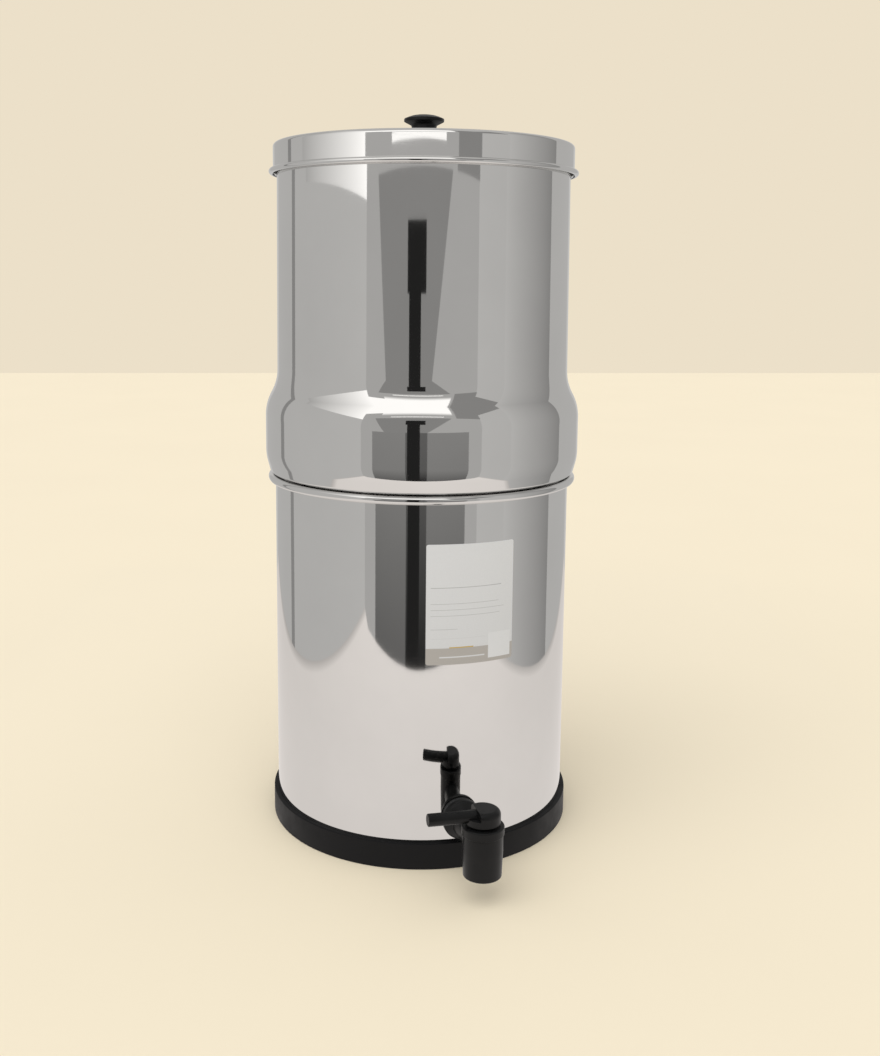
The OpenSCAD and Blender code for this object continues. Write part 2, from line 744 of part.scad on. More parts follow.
module tap_lock_nut() {
    color(black) on_tap_axis() translate([0, 0, nut_face_r - tap_nut_h])
        hex_nut(tap_nut_af, shank_r + shank_thread_gap, tap_nut_h);
}

module tap_collar() {
    skirt_h = collar_lip_z - collar_z;
    path = bent_path([[0, collar_z, 0],
                      [collar_r, collar_z, mould_r],
                      [collar_r, collar_top_z, collar_edge_r],
                      [0, collar_top_z, 0]]);
    color(black) on_spout_axis(0) difference() {
        rotate_extrude() polygon([for (q = path) q[0]]);
        translate([0, 0, collar_z - cut])
            cylinder(r = barrel_thread_r + shank_thread_gap, h = skirt_h + cut);
        translate([0, 0, collar_z]) cylinder(r = plug_stem_r + plug_gap, h = collar_h + cut);
    }
}

module tap_plug() {
    bottom_z = ledge_z + plug_play;
    color(black) on_spout_axis(0) difference() {
        union() {
            translate([0, 0, bottom_z]) cylinder(r = plug_r, h = shoulder_z - bottom_z);
            translate([0, 0, shoulder_z]) plug_shoulder();
            translate([0, 0, shoulder_z]) cylinder(r = plug_stem_r, h = hub_z - shoulder_z);
            translate([-drive_w / 2, -drive_w / 2, shoulder_z])
                cube([drive_w, drive_w, hub_z + drive_h - shoulder_z]);
        }
        translate([0, 0, bottom_z - cut])
            cylinder(r = plug_way_r, h = tap_z + plug_port_r - bottom_z + 2 * cut);
        translate([0, 0, tap_z]) rotate([0, 90, 0]) cylinder(r = plug_port_r, h = plug_bore_r + cut);
        for (s = [-1, 1]) translate([0, 0, tap_z + s * o_ring_offset - o_ring_r])
            washer(plug_bore_r + cut, groove_r, 2 * o_ring_r);
    }
}

module plug_o_rings() {
    ring_centre_r = groove_r + o_ring_r;
    color(rubber_grey) for (s = [-1, 1])
        on_spout_axis(0) roll(ring_centre_r, tap_z + s * o_ring_offset, o_ring_r);
}

module tap_handle() {
    path = bent_path([[0, hub_z, 0],
                      [hub_r, hub_z, mould_r],
                      [hub_r, hub_top_z, hub_edge_r],
                      [0, hub_top_z, 0]]);
    bar_path = bent_path([[0, 0, 0],
                          [bar_r, 0, 0],
                          [bar_r, bar_reach, bar_edge_r],
                          [0, bar_reach, 0]]);
    socket_w = drive_w + 2 * drive_fit;
    color(black) on_spout_axis(0) difference() {
        union() {
            difference() {
                rotate_extrude() polygon([for (q = path) q[0]]);
                translate([-hub_flat - hub_r, -hub_r, bar_z])
                    cube([hub_r, 2 * hub_r, hub_h]);
            }
            translate([0, 0, bar_z]) rotate([0, bar_rise - 90, 0])
                rotate_extrude() polygon([for (q = bar_path) q[0]]);
        }
        translate([-socket_w / 2, -socket_w / 2, hub_z - cut])
            cube([socket_w, socket_w, drive_h + drive_fit + cut]);
    }
}

lower_chamber();
base_ring();
label_sticker();
upper_chamber();
lid();
lid_knob();
knob_screw();
knob_washer();
ceramic_shell(candle_places[0]);  // left_ceramic_shell
ceramic_shell(candle_places[1]);  // right_ceramic_shell
carbon_core(candle_places[0]);  // left_carbon_core
carbon_core(candle_places[1]);  // right_carbon_core
candle_base(candle_places[0]);  // left_candle_base
candle_base(candle_places[1]);  // right_candle_base
candle_sealing_washers();
candle_wing_nuts();
hole_plugs();
hole_plug_washers();
hole_plug_nuts();
tap_body();
tap_outer_washer();
tap_inner_washer();
tap_lock_nut();
tap_collar();
tap_plug();
plug_o_rings();
tap_handle();
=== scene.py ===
"""The looks of a two-chamber gravity water filter with a plug tap.

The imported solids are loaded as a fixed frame. The drawn steel vessels, the lid, the label and the
threaded plastic pieces are made again here as smooth surfaces, and the other solids keep their
shape and get their finish. Lengths are in metres. Profiles are written in millimetres.
"""

import math

import bpy
import numpy as np
from bpy.props import FloatProperty, FloatVectorProperty, PointerProperty
from mathutils import Matrix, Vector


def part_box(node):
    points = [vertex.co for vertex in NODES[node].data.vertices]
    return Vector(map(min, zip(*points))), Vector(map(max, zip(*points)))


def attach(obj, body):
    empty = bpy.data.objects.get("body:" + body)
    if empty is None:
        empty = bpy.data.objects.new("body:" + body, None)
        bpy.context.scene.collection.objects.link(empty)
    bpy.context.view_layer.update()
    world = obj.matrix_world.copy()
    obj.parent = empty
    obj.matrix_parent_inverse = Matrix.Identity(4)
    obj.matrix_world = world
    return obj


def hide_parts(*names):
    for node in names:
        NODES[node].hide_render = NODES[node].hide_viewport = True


bl_info = {
    "name": "Gravity water filter",
    "version": (1, 0, 0),
    "blender": (4, 5, 0),
    "location": "View3D > Sidebar > Water filter",
    "description": "Steel shells, tap, candles and studio of a gravity water filter",
    "category": "Add Mesh",
}

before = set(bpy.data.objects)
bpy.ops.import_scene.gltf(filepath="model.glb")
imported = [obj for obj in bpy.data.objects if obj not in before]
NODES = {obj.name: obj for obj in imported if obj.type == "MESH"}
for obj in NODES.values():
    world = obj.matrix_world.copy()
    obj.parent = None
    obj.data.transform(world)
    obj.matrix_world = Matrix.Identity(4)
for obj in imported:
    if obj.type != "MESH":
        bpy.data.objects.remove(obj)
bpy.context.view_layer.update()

MM = 0.001
COLUMNS = 360  # one column of faces per degree round the vessels
FRONT = math.radians(-15.37)  # turn of the camera's side from the tap's side

# Heights in millimetres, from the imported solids
RIM_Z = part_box("lower_chamber")[1].z / MM
MOUTH_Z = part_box("upper_chamber")[1].z / MM
LID_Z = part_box("lid")[1].z / MM
LID_FOOT_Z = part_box("lid")[0].z / MM
FOOT_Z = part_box("lower_chamber")[0].z / MM
FLOOR_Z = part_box("upper_chamber")[0].z / MM
TAP_Z = (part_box("tap_lock_nut")[0].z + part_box("tap_lock_nut")[1].z) / 2 / MM
LABEL_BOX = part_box("label_sticker")

# Sizes in millimetres that several pieces share
SEAT_GAP = 0.3  # between one loose vessel and the next
SPIGOT_GAP = 0.6  # between the spigot and the lower chamber's wall
WASHER = 3  # thickness of a candle's sealing washer
PLUG_WASHER = 2  # thickness of a hole plug's washer
PLACE = 50  # from the upper chamber's axis to each hole in its floor
STEM = 6  # radius of the threaded stems
FLOOR_HOLE, TAP_HOLE, SCREW_HOLE = 6.5, 8.25, 2.45  # radii of the holes in the sheets


# ---- Settings ------------------------------------------------------------------------------


def length(name, description, default):
    """A length setting in metres."""
    return FloatProperty(name=name, description=description, default=default, min=0,
                         precision=5, unit="LENGTH", subtype="DISTANCE")


def colour(name, description, default):
    """A colour setting, in linear light."""
    return FloatVectorProperty(name=name, description=description, default=default,
                               size=3, min=0, max=1, subtype="COLOR")


def share(name, description, default, most=1.0):
    """A plain number from 0 up."""
    return FloatProperty(name=name, description=description, default=default, min=0, max=most,
                         precision=3, subtype="FACTOR")


class VesselSettings(bpy.types.PropertyGroup):
    """Sizes of the drawn steel vessels."""

    sheet: length("Sheet", "Thickness of the stainless sheet", 0.8 * MM)
    wall_radius: length("Wall radius", "Outer radius of the lower chamber's wall", 105 * MM)
    shoulder_radius: length("Shoulder radius", "Outer radius of the shoulder", 111.6 * MM)
    upper_radius: length("Upper radius", "Outer radius above the shoulder", 103.2 * MM)
    mouth_radius: length("Mouth radius", "Outer radius at the mouth", 102.2 * MM)
    rim_roll: length("Rim roll", "Radius of the lower rim's roll", 2.9 * MM)
    lid_radius: length("Lid radius", "Outer radius of the lid's skirt", 104.9 * MM)
    lid_roll: length("Lid roll", "Radius of the roll round the lid", 1.9 * MM)


class FinishSettings(bpy.types.PropertyGroup):
    """Colours and roughness of the finishes."""

    steel: colour("Steel", "Colour of the polished sheet", (0.72, 0.715, 0.705))
    steel_roughness: share("Steel roughness", "Blur of the polished sheet", 0.035)
    plastic: colour("Tap plastic", "Colour of the tap and the knob", (0.006, 0.006, 0.0062))
    plastic_roughness: share("Tap roughness", "Roughness of the moulded plastic", 0.36)
    ring: colour("Base ring", "Colour of the base ring", (0.006, 0.006, 0.0066))
    ring_roughness: share("Ring roughness", "Roughness of the base ring", 0.5)
    seal: colour("Seals", "Colour of washers and O-rings", (0.03, 0.03, 0.031))
    ceramic: colour("Ceramic", "Colour of the unglazed candle shells", (0.83, 0.80, 0.73))
    white_plastic: colour("White plastic", "Colour of candle cups and wing nuts",
                          (0.80, 0.80, 0.78))
    paper: colour("Label paper", "Colour of the label's paper", (0.655, 0.675, 0.715))
    print_grey: colour("Label band", "Colour of the label's band and rules", (0.40, 0.385, 0.375))
    print_ochre: colour("Label accent", "Colour of the thin line over the band",
                        (0.50, 0.36, 0.10))


class StageSettings(bpy.types.PropertyGroup):
    """Floor, backdrop and lamps."""

    floor: colour("Floor", "Colour of the floor", (0.90, 0.80, 0.61))
    backdrop: colour("Backdrop", "Colour of the backdrop", (0.838, 0.745, 0.585))
    sky: share("Room light", "Strength of the even light from all sides", 0.92, 4)
    sun: share("Key light", "Strength of the soft key light", 1.25, 10)


# ---- Surfaces ------------------------------------------------------------------------------


def unit(v):
    """v divided by its length."""
    return v / np.linalg.norm(v, axis=-1, keepdims=True)


def left_of(d):
    """The direction a quarter turn to the left of d, in the plane of a section."""
    return np.stack([-d[..., 1], d[..., 0]], -1)


def rounded_path(corners, closed=False, step=3):
    """Path through corners (r, z, bend radius).

    Each corner is replaced by the arc of its bend radius that touches both its sides: the arc's
    normal is the first side's left-hand normal turned evenly, every `step` degrees, into the
    second side's, and its points lie one bend radius from the arc's centre. Returns points and
    left-hand normals.
    """
    c = np.asarray(corners, float)
    p, n_last = c[:, :2], len(c) - 1
    points, normals = [], []
    for i, (q, bend) in enumerate(zip(p, c[:, 2])):
        if not closed and i in (0, n_last):
            side = p[1] - p[0] if i == 0 else p[-1] - p[-2]
            points.append(q[None])
            normals.append(left_of(unit(side))[None])
            continue
        before, after = unit(q - p[i - 1]), unit(p[(i + 1) % len(p)] - q)
        turn = math.atan2(before[0] * after[1] - before[1] * after[0], before @ after)
        if bend == 0 or abs(turn) < 1e-6:
            points.append(q[None])
            normals.append(unit(left_of(before) + left_of(after))[None])
            continue
        start = q - before * bend * math.tan(abs(turn) / 2)
        centre = start + math.copysign(bend, turn) * left_of(before)
        angles = np.linspace(0, turn, max(2, math.ceil(abs(math.degrees(turn)) / step)) + 1)
        first = left_of(before)
        n = np.outer(np.cos(angles), first) + np.outer(np.sin(angles), left_of(first))
        points.append(centre - math.copysign(bend, turn) * n)
        normals.append(n)
    return np.concatenate(points), np.concatenate(normals)


def rolled_edge(centre, radius, first, last, step=7.5):
    """Arc of a rolled edge: points at `radius` from the centre, from angle `first` to `last`."""
    angles = np.radians(np.linspace(first, last, math.ceil(abs(last - first) / step) + 1))
    n = np.stack([np.cos(angles), np.sin(angles)], -1)
    return np.asarray(centre) + radius * n, n


def joined(*paths):
    """Paths of points and normals, one after the other."""
    return np.concatenate([p for p, _ in paths]), np.concatenate([n for _, n in paths])


def inner_side(path, thickness):
    """The other face of a sheet: the path moved in by the thickness, and run backwards."""
    points, normals = path
    return (points - thickness * normals)[::-1], -normals[::-1]


def add_mesh(name, points, faces, material, normals=None, uv=None):
    """Makes the mesh object `name` from whole arrays of points (in metres) and of faces."""
    mesh = bpy.data.meshes.new(name)
    sizes = np.concatenate([np.full(len(f), f.shape[1]) for f in faces])
    corners = np.concatenate([f.ravel() for f in faces]).astype(np.int32)
    mesh.vertices.add(len(points))
    mesh.vertices.foreach_set("co", np.asarray(points, np.float32).ravel())
    mesh.loops.add(len(corners))
    mesh.loops.foreach_set("vertex_index", corners)
    mesh.polygons.add(len(sizes))
    mesh.polygons.foreach_set("loop_start", np.concatenate([[0], np.cumsum(sizes)[:-1]]))
    mesh.polygons.foreach_set("use_smooth", np.ones(len(sizes), bool))
    if uv is not None:
        layer = mesh.uv_layers.new(name="UVMap")
        layer.data.foreach_set("uv", np.asarray(uv, np.float32)[corners].ravel())
    mesh.update(calc_edges=True)
    mesh.validate()
    if normals is None:
        mesh.set_sharp_from_angle(angle=math.radians(35))
    else:
        mesh.normals_split_custom_set_from_vertices(np.asarray(normals, np.float32))
    mesh.materials.append(material)
    made = bpy.data.objects.new(name, mesh)
    bpy.context.scene.collection.objects.link(made)
    return made


def strip(a, b):
    """Quads between two closed rings of point numbers, ring a outside and both anticlockwise."""
    return np.stack([a, np.roll(a, -1), np.roll(b, -1), b], -1)


def grid_quads(n):
    """Quads between neighbours in a grid of point numbers."""
    return np.stack([n[:-1, :-1], n[:-1, 1:], n[1:, 1:], n[1:, :-1]], -1).reshape(-1, 4)


def turned(points, angle):
    """Points turned round the vertical axis, anticlockwise as seen from above."""
    c, s = math.cos(angle), math.sin(angle)
    return points @ np.array([[c, s, 0], [-s, c, 0], [0, 0, 1]])


def revolved(name, path, material, columns=COLUMNS, closed=False, holes=(), place=(0, 0),
             thread=None, exact=True, inside=None):
    """Surface of revolution.

    The point of row i and column j is (r_i sin t_j, -r_i cos t_j, z_i), with t_j the j-th of
    `columns` equal shares of a full turn, so column 0 faces the tap's side. A row on the axis is
    one point. `holes` are round holes through two faces of a sheet: the faces in a window of
    rows and columns are left out, its border is joined to the hole's circle, each border point
    to the circle's point in the same direction, and the two circles are joined through the sheet.
    `thread` (r, depth, pitch, low, high) cuts a helical groove into the rows of radius r: the
    radius falls by depth times a rounded wave of z / pitch - t / full turn. `inside` gives the
    share of satin finish of each row, 1 on the inner side of a vessel.
    """
    (points, normals), count = path, len(path[0])
    t = 2 * math.pi * np.arange(columns) / columns
    ring = np.stack([np.sin(t), -np.cos(t)], -1)
    r = np.repeat(points[:, :1], columns, 1)
    if thread:
        crest, depth, pitch, low, high = thread
        z = points[:, 1:2]
        wave = 0.5 - 0.5 * np.cos(2 * math.pi * (z / pitch - t / (2 * math.pi)))
        fade = np.clip(np.minimum(z - low, high - z) / pitch, 0, 1)
        on = np.isclose(points[:, :1], crest)
        r = r - on * fade * depth * wave ** 0.8
    grid = np.concatenate([ring * r[..., None],
                           np.repeat(points[:, None, 1:], columns, 1)], -1)
    slopes = np.concatenate([ring * normals[:, None, :1],
                             np.repeat(normals[:, None, 1:], columns, 1)], -1)
    number = np.arange(count * columns).reshape(count, columns)
    number[points[:, 0] < 1e-9] = number[points[:, 0] < 1e-9, :1]
    xyz, nrm = grid.reshape(-1, 3), slopes.reshape(-1, 3)

    rows = np.arange(count if closed else count - 1)
    a, b = number[rows], number[(rows + 1) % count]
    quads = np.stack([a, b, np.roll(b, -1, 1), np.roll(a, -1, 1)], -1)
    keep = np.ones(quads.shape[:2], bool)
    extra = []
    for hole in holes:
        circles = []
        for low, high in hole["rows"]:
            cols = np.arange(-hole["half"], hole["half"] + 1) + hole["column"]
            keep[low:high, cols[:-1] % columns] = False
            window = number[low:high + 1][:, cols % columns]
            border = np.concatenate([window[0], window[-1], window[1:-1, 0], window[1:-1, -1]])
            away = xyz[border] - hole["centre"]
            angle = np.arctan2(away @ hole["up"], away @ hole["across"])
            border = border[np.argsort(angle)]
            angle = np.sort(angle)[:, None]
            circle = hole["centre"] + hole["radius"] * (
                np.cos(angle) * hole["across"] + np.sin(angle) * hole["up"])
            if hole["up"][2]:  # a hole through the wall: the circle lies on the cylinder
                surface = np.hypot(*xyz[border[0], :2])
                circle[:, 1] = -np.sqrt(surface ** 2 - circle[:, 0] ** 2)
            else:
                circle[:, 2] = xyz[border[0], 2]
            first = len(xyz)
            xyz = np.concatenate([xyz, circle])
            nrm = np.concatenate([nrm, nrm[border]])
            circles.append(first + np.arange(len(circle)))
            outward = nrm[border[0]] @ np.cross(hole["across"], hole["up"]) > 0
            ring_faces = strip(border, circles[-1])
            extra.append(ring_faces if outward else ring_faces[:, ::-1])
        extra.append(strip(*circles))
    quads = quads[keep]
    poles = (quads[:, 0] == quads[:, 3]) | (quads[:, 1] == quads[:, 2])
    flat = quads[poles]
    tris = np.where((flat[:, 0] == flat[:, 3])[:, None], flat[:, [0, 1, 2]], flat[:, [0, 1, 3]])
    faces = [f for f in (np.concatenate([quads[~poles], *extra]), tris) if len(f)]

    used = np.unique(np.concatenate([f.ravel() for f in faces]))
    renumber = np.zeros(len(xyz), int)
    renumber[used] = np.arange(len(used))
    xyz = xyz[used] + [place[0], place[1], 0]
    made = add_mesh(name, xyz * MM, [renumber[f] for f in faces], material,
                    nrm[used] if exact else None)
    if inside is not None:
        satin = np.zeros(len(nrm), np.float32)
        satin[:count * columns] = np.repeat(inside, columns)
        made.data.attributes.new("satin", "FLOAT", "POINT").data.foreach_set("value", satin[used])
    return made


def rows_between(path, r, low, high, tolerance=0.05):
    """First and last row of the path's run at radius r between two heights, or, where r is a
    pair, between two radii at height `low`."""
    points = path[0]
    if isinstance(r, tuple):
        on = (np.abs(points[:, 1] - low) < tolerance) & (points[:, 0] > r[0] - tolerance)
        on &= points[:, 0] < r[1] + tolerance
    else:
        on = (np.abs(points[:, 0] - r) < tolerance) & (points[:, 1] > low - tolerance)
        on &= points[:, 1] < high + tolerance
    found = np.flatnonzero(on)
    return found[0], found[-1]


# ---- Finishes ------------------------------------------------------------------------------


class Finish:
    """A material in the making: its node tree, with one Principled shader."""

    def __init__(self, name, base, roughness, metallic=0.0, **sockets):
        self.material = bpy.data.materials.new(name)
        self.material.use_nodes = True
        self.tree = self.material.node_tree
        self.shader = self.tree.nodes["Principled BSDF"]
        self.shader.inputs["Base Color"].default_value = (*base, 1)
        self.shader.inputs["Roughness"].default_value = roughness
        self.shader.inputs["Metallic"].default_value = metallic
        for socket, value in sockets.items():
            self.shader.inputs[socket.replace("_", " ")].default_value = value

    def node(self, kind, inputs=None, **settings):
        """Adds a node, sets its settings, and sets or links its inputs."""
        made = self.tree.nodes.new("ShaderNode" + kind)
        for key, value in settings.items():
            setattr(made, key, value)
        for key, value in (inputs or {}).items():
            if isinstance(value, bpy.types.NodeSocket):
                self.tree.links.new(value, made.inputs[key])
            else:
                made.inputs[key].default_value = value
        return made

    def place(self, scale=(1, 1, 1)):
        """Object coordinates, stretched by a scale along each axis."""
        where = self.node("TexCoord").outputs["Object"]
        return self.node("Mapping", {"Vector": where, "Scale": scale}).outputs["Vector"]

    def noise(self, scale, detail=3.0, roughness=0.5, stretch=(1, 1, 1)):
        """Noise of a scale in waves per metre, from 0 to 1."""
        return self.node("TexNoise", {"Vector": self.place(stretch), "Scale": scale,
                                      "Detail": detail, "Roughness": roughness}).outputs["Fac"]

    def between(self, value, low, high, start=0.35, end=0.65):
        """Maps a value from [start, end] to [low, high]."""
        return self.node("MapRange", {"Value": value, "From Min": start, "From Max": end,
                                      "To Min": low, "To Max": high}).outputs["Result"]

    def mixed(self, fac, a, b):
        """Mix of two colours."""
        made = self.node("Mix", data_type="RGBA")
        for socket, value in ((made.inputs[0], fac), (made.inputs[6], a), (made.inputs[7], b)):
            if isinstance(value, bpy.types.NodeSocket):
                self.tree.links.new(value, socket)
            else:
                socket.default_value = value if isinstance(value, float) else (*value, 1)
        return made.outputs[2]

    def set(self, socket, value):
        """Links a value to the shader's socket."""
        self.tree.links.new(value, self.shader.inputs[socket])

    def bump(self, height, distance, strength=1.0):
        """Relief of a height in metres."""
        made = self.node("Bump", {"Height": height, "Distance": distance, "Strength": strength})
        self.set("Normal", made.outputs["Normal"])


def scaled(colour_value, by):
    """A colour made lighter or darker."""
    return tuple(min(1.0, c * by) for c in colour_value)


def polished_steel(finish):
    """Mirror-polished stainless sheet: faint smudges and very fine buffing lines round it. The
    inner side of a vessel, marked by the mesh's own satin attribute, is only blasted."""
    steel = Finish("mirror-polished stainless sheet", finish.steel, finish.steel_roughness, 1.0)
    smudge = steel.noise(14, 4, 0.6)
    steel.set("Base Color", steel.mixed(steel.between(smudge, 0.0, 1.0, 0.3, 0.7),
                                        scaled(finish.steel, 0.975), scaled(finish.steel, 1.02)))
    lines = steel.noise(60, 2, 0.5, (1, 1, 60))
    haze = steel.node("Math", {0: smudge, 1: lines}, operation="MULTIPLY").outputs[0]
    satin = steel.node("Attribute", attribute_name="satin").outputs["Fac"]
    shine = steel.between(haze, finish.steel_roughness * 0.8, finish.steel_roughness * 1.7,
                          0.15, 0.4)
    steel.set("Roughness", steel.node("Math", {0: satin, 1: 0.42, 2: shine},
                                      operation="MULTIPLY_ADD").outputs[0])
    steel.set("Metallic", steel.between(satin, 1.0, 0.45, 0.0, 1.0))
    return steel.material


def moulded_plastic(name, base, roughness, grain=900, gloss=0.5):
    """Injection-moulded plastic: a fine grain and slightly uneven gloss."""
    plastic = Finish(name, base, roughness, Specular_IOR_Level=gloss)
    cloud = plastic.noise(70, 3)
    plastic.set("Base Color", plastic.mixed(plastic.between(cloud, 0.0, 1.0),
                                            scaled(base, 0.85), scaled(base, 1.2)))
    plastic.set("Roughness", plastic.between(cloud, roughness * 0.88, roughness * 1.15))
    plastic.bump(plastic.noise(grain, 2), 0.00002, 0.35)
    return plastic.material


def seal_rubber(finish):
    """Matt rubber with a fine pebbled skin."""
    rubber = Finish("seal rubber", finish.seal, 0.75)
    speck = rubber.noise(500, 4, 0.7)
    rubber.set("Base Color", rubber.mixed(rubber.between(speck, 0.0, 1.0),
                                          scaled(finish.seal, 0.7), scaled(finish.seal, 1.4)))
    rubber.bump(speck, 0.00003, 0.5)
    return rubber.material


def unglazed_ceramic(finish):
    """Fine-pored fired clay: speckled, with tiny pits."""
    clay = Finish("unglazed ceramic", finish.ceramic, 0.85)
    speck = clay.noise(260, 6, 0.7)
    clay.set("Base Color", clay.mixed(clay.between(speck, 0.0, 1.0),
                                      scaled(finish.ceramic, 0.9), finish.ceramic))
    pits = clay.node("TexVoronoi", {"Vector": clay.place(), "Scale": 900.0}).outputs["Distance"]
    clay.bump(clay.between(pits, 0.0, 1.0, 0.1, 0.5), 0.00006, 0.4)
    return clay.material


def pressed_carbon():
    """Pressed carbon granules: coarse black grains."""
    dark = (0.012, 0.012, 0.012)
    carbon = Finish("pressed carbon", dark, 0.8)
    grains = carbon.node("TexVoronoi", {"Vector": carbon.place(), "Scale": 700.0})
    carbon.set("Base Color", carbon.mixed(carbon.between(grains.outputs["Distance"], 0.0, 1.0,
                                                         0.0, 0.6), scaled(dark, 3), dark))
    carbon.bump(grains.outputs["Distance"], 0.0003, 0.6)
    return carbon.material


def plain_steel():
    """Turned stainless screw: fine rings."""
    screw = Finish("turned stainless steel", (0.55, 0.55, 0.54), 0.28, 1.0)
    rings = screw.noise(300, 2, 0.5, (1, 1, 8))
    screw.set("Roughness", screw.between(rings, 0.2, 0.38))
    screw.bump(rings, 0.00002, 0.4)
    return screw.material


def printed_label(finish, width, height):
    """Coated paper with a grey band, thin rules, a blank white tab and painted shade low down.

    Printed areas are boxes in the label's own UV map, given in millimetres from its lower left
    corner: inside a box, four comparisons of the place with its sides are all 1.
    """
    paper = Finish("printed label paper", finish.paper, 0.42)
    uv = paper.node("SeparateXYZ", {0: paper.node("UVMap").outputs["UV"]}).outputs

    def side(place, at, above):
        operation = "GREATER_THAN" if above else "LESS_THAN"
        return paper.node("Math", {0: place, 1: at}, operation=operation).outputs[0]

    def times(a, b):
        return paper.node("Math", {0: a, 1: b}, operation="MULTIPLY").outputs[0]

    def box(x0, x1, y0, y1):
        across = times(side(uv[0], x0 / width, True), side(uv[0], x1 / width, False))
        up = times(side(uv[1], y0 / height, True), side(uv[1], y1 / height, False))
        return times(across, up)

    fibre = paper.noise(1400, 3)
    sheet = paper.mixed(paper.between(fibre, 0.0, 1.0), scaled(finish.paper, 0.97), finish.paper)
    # Painted shade: the paper darkens to 0.93 of its colour from nine tenths of its height down to
    # its foot.
    painted_shade = paper.between(uv[1], 0.93, 1.0, 0.0, 0.9)
    sheet = paper.node("VectorMath", {0: sheet, "Scale": painted_shade}, operation="SCALE").outputs[0]
    layers = (
        (finish.print_grey, box(0, width, 0, 11.1)),
        (scaled(finish.paper, 0.92), box(9, 40, 4.6, 5.5)),
        (finish.print_ochre, box(15.5, 32, 11.1, 11.8)),
        (scaled(finish.paper, 0.86), box(2.5, 15.5, 11.1, 11.6)),
        (scaled(finish.paper, 0.62), box(3, 52, 51.3, 51.75)),
        (scaled(finish.paper, 0.72), box(3, 50, 40.6, 41.0)),
        (scaled(finish.paper, 0.72), box(3, 54, 36.6, 37.0)),
        (scaled(finish.paper, 0.72), box(3, 51, 32.6, 33.0)),
        (scaled(finish.paper, 0.72), box(3, 21, 23.6, 24.0)),
        (scaled(finish.paper, 0.86), box(3, 40, 17.4, 17.75)),
        (finish.paper, box(42.6, 59.6, 2.4, 19.4)),
    )
    for ink, where in layers:
        sheet = paper.mixed(where, sheet, ink)
    paper.set("Base Color", sheet)
    paper.bump(fibre, 0.00001, 0.3)
    return paper.material


def finishes():
    """The finishes of this filter, made once and kept by name."""
    finish = bpy.context.scene.filter_finish
    if "mirror-polished stainless sheet" not in bpy.data.materials:
        polished_steel(finish)
        moulded_plastic("black tap plastic", finish.plastic, finish.plastic_roughness,
                        gloss=0.22)
        moulded_plastic("matt black plastic", scaled(finish.plastic, 1.3), 0.55)
        moulded_plastic("base ring moulding", finish.ring, finish.ring_roughness,
                        600, gloss=0.16)
        moulded_plastic("white candle plastic", finish.white_plastic, 0.42)
        seal_rubber(finish)
        unglazed_ceramic(finish)
        pressed_carbon()
        plain_steel()
    return bpy.data.materials


def dress(names, material):
    """Puts a finish on solids of the frame."""
    for name in names:
        node = NODES[name]
        if not node.material_slots:
            node.data.materials.append(material)
        for slot in node.material_slots:
            slot.material = material


# ---- Pieces --------------------------------------------------------------------------------


class WATERFILTER_OT_lower_chamber(bpy.types.Operator):
    """Lower chamber: drawn steel vessel with a pressed-up bottom, rolled rim and tap hole"""

    bl_idname = "waterfilter.lower_chamber"
    bl_label = "Lower chamber"

    def execute(self, context):
        vessel = context.scene.filter_vessel
        wall, sheet, roll = (v / MM for v in (vessel.wall_radius, vessel.sheet, vessel.rim_roll))
        roll_z, foot, rise = RIM_Z - roll, wall - 14, 3
        low, high = TAP_Z - 8.7, TAP_Z + 8.7  # the window round the tap hole
        side = rounded_path([(wall, roll_z - 2.2, 0),
                             *[(wall, z, 0) for z in np.linspace(high, low, 7)],
                             (wall, FOOT_Z, 5), (foot, FOOT_Z, rise),
                             (foot - rise, FOOT_Z + rise, rise), (0, FOOT_Z + rise, 0)])
        edge = rolled_edge((wall - sheet + roll, roll_z), roll, 180, -138)
        inner = inner_side(side, sheet)
        path = joined(inner, edge, side)
        holes = [{"rows": [rows_between(path, r, low, high) for r in (wall, wall - sheet)],
                  "column": 0, "half": 5, "radius": TAP_HOLE, "centre": np.array([0, 0, TAP_Z]),
                  "across": np.array([1.0, 0, 0]), "up": np.array([0, 0, 1.0])}]
        made = revolved("lower_chamber_shell", path, finishes()["mirror-polished stainless sheet"],
                        holes=holes, inside=np.arange(len(path[0])) < len(inner[0]))
        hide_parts("lower_chamber")
        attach(made, "lower_chamber")
        return {"FINISHED"}


